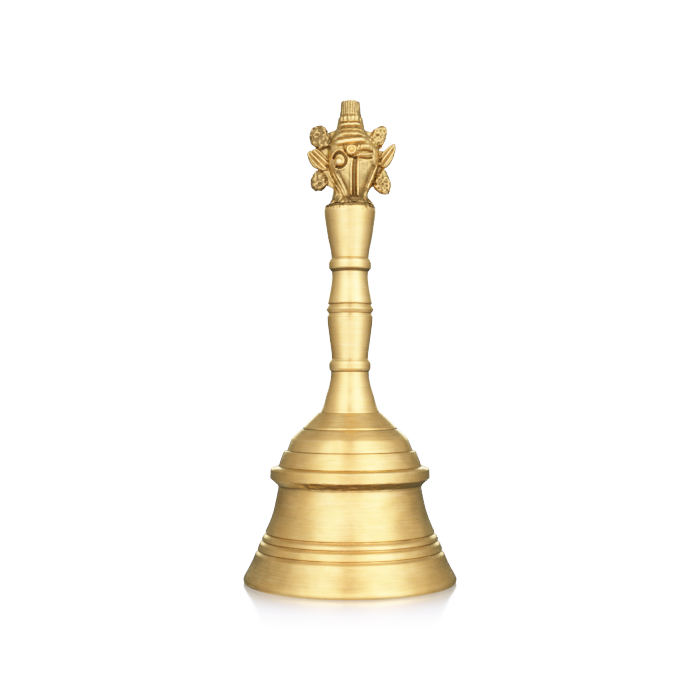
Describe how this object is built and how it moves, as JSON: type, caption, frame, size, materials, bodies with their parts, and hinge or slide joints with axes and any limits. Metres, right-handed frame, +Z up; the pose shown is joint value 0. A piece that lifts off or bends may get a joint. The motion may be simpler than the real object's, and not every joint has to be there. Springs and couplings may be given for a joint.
{
  "type": "hand bell",
  "caption": "Turned brass puja hand bell: flared cup, beaded handle with a mask finial, and a clapper on a wire link that swings inside the cup.",
  "frame": {"origin": "centre of the mouth, on the plane that the lip rests on", "axes": "+Z up through the crown and the handle; the mask on the finial faces -Y"},
  "size_m": [0.0734, 0.0734, 0.1646],
  "materials": {
    "turned_brass": "turned on a lathe and polished, with fine lines round the bell, satin bright",
    "cast_brass": "as cast and brushed, with darker recesses",
    "brass_wire": "drawn wire, slightly dulled",
    "plated_steel": "zinc plated, dull"
  },
  "bodies": {
    "bell": {"bell_cup": "turned_brass", "handle": "turned_brass", "finial": "cast_brass", "eye_bolt": "plated_steel", "clamp_washer": "plated_steel", "clamp_nut": "plated_steel"},
    "link": {"clapper_link": "brass_wire"},
    "clapper": {"clapper_rod": "brass_wire", "clapper_bob": "turned_brass"}
  },
  "joints": [
    {"name": "link_swing", "type": "hinge", "parent": "bell", "child": "link", "pos_m": [0, 0, 0.0392], "axis": [0, 1, 0], "range_deg": [-37, 37]},
    {"name": "clapper_swing", "type": "hinge", "parent": "link", "child": "clapper", "pos_m": [0, 0, 0.0339], "axis": [1, 0, 0], "range_deg": [-15, 15]}
  ]
}
